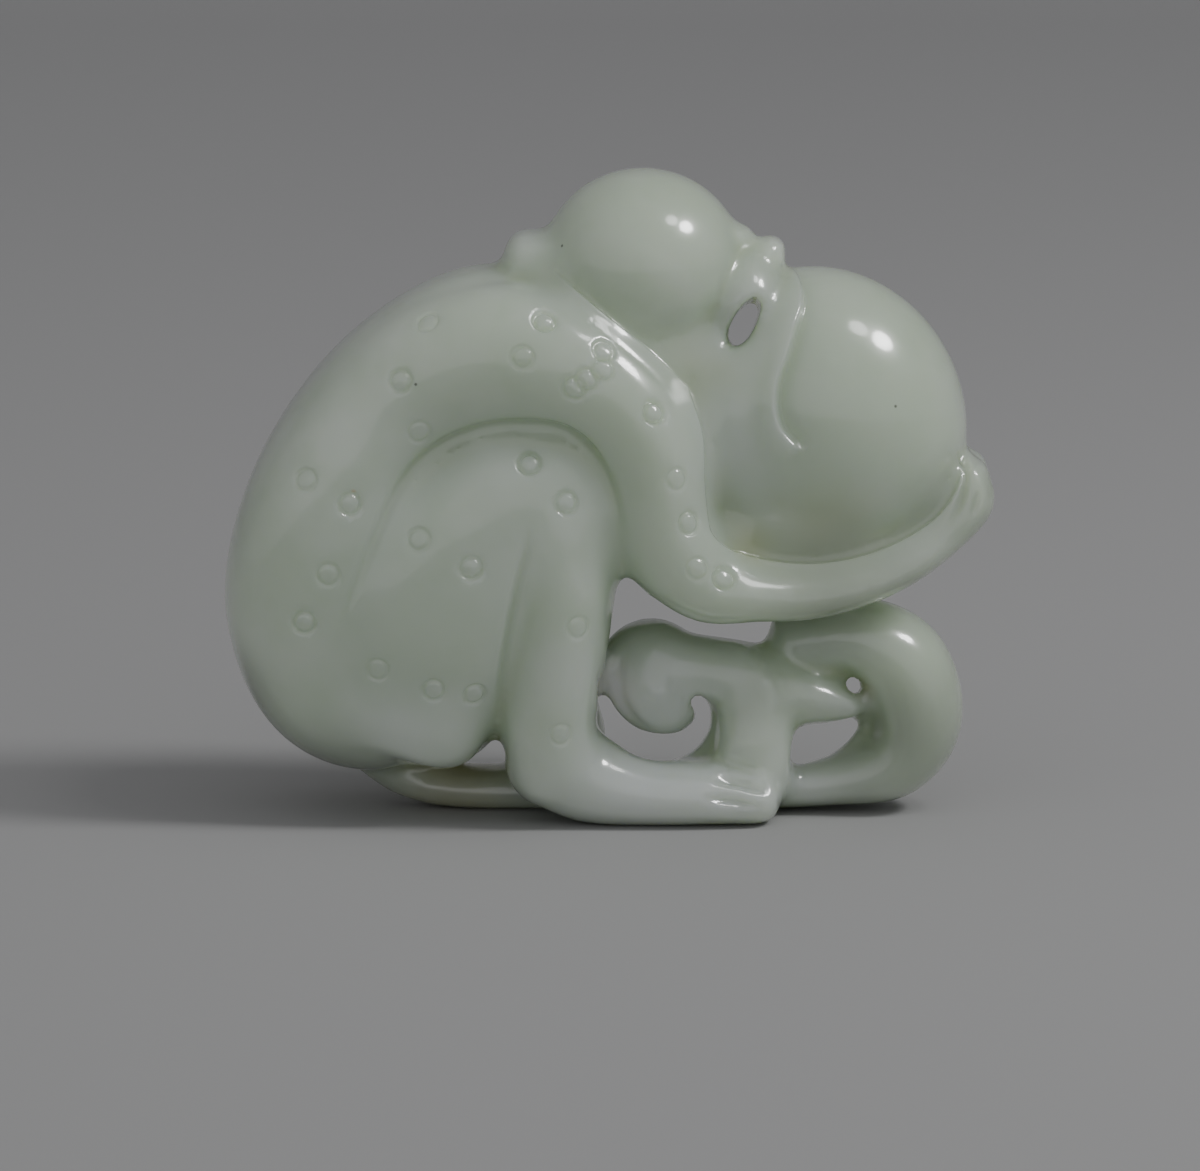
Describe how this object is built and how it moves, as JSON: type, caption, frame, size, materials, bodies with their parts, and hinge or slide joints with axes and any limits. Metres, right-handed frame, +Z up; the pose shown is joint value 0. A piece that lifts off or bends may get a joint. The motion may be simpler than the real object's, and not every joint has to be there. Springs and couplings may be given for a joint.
{
  "type": "jade carving",
  "caption": "Pocket-sized pierced jade carving of a crouching, ring-spotted figure that clasps a double gourd, with a curling vine under it.",
  "frame": {"origin": "centre of the bounding box in X and Y, on the plane that the feet stand on", "axes": "+Z up, +X along the length from the curved back to the gourd, -Y the side that is carved in full"},
  "size_m": [0.0699, 0.026, 0.059],
  "materials": {
    "jade": "polished"
  },
  "bodies": {
    "root": {"jade_carving": "jade"}
  },
  "joints": []
}
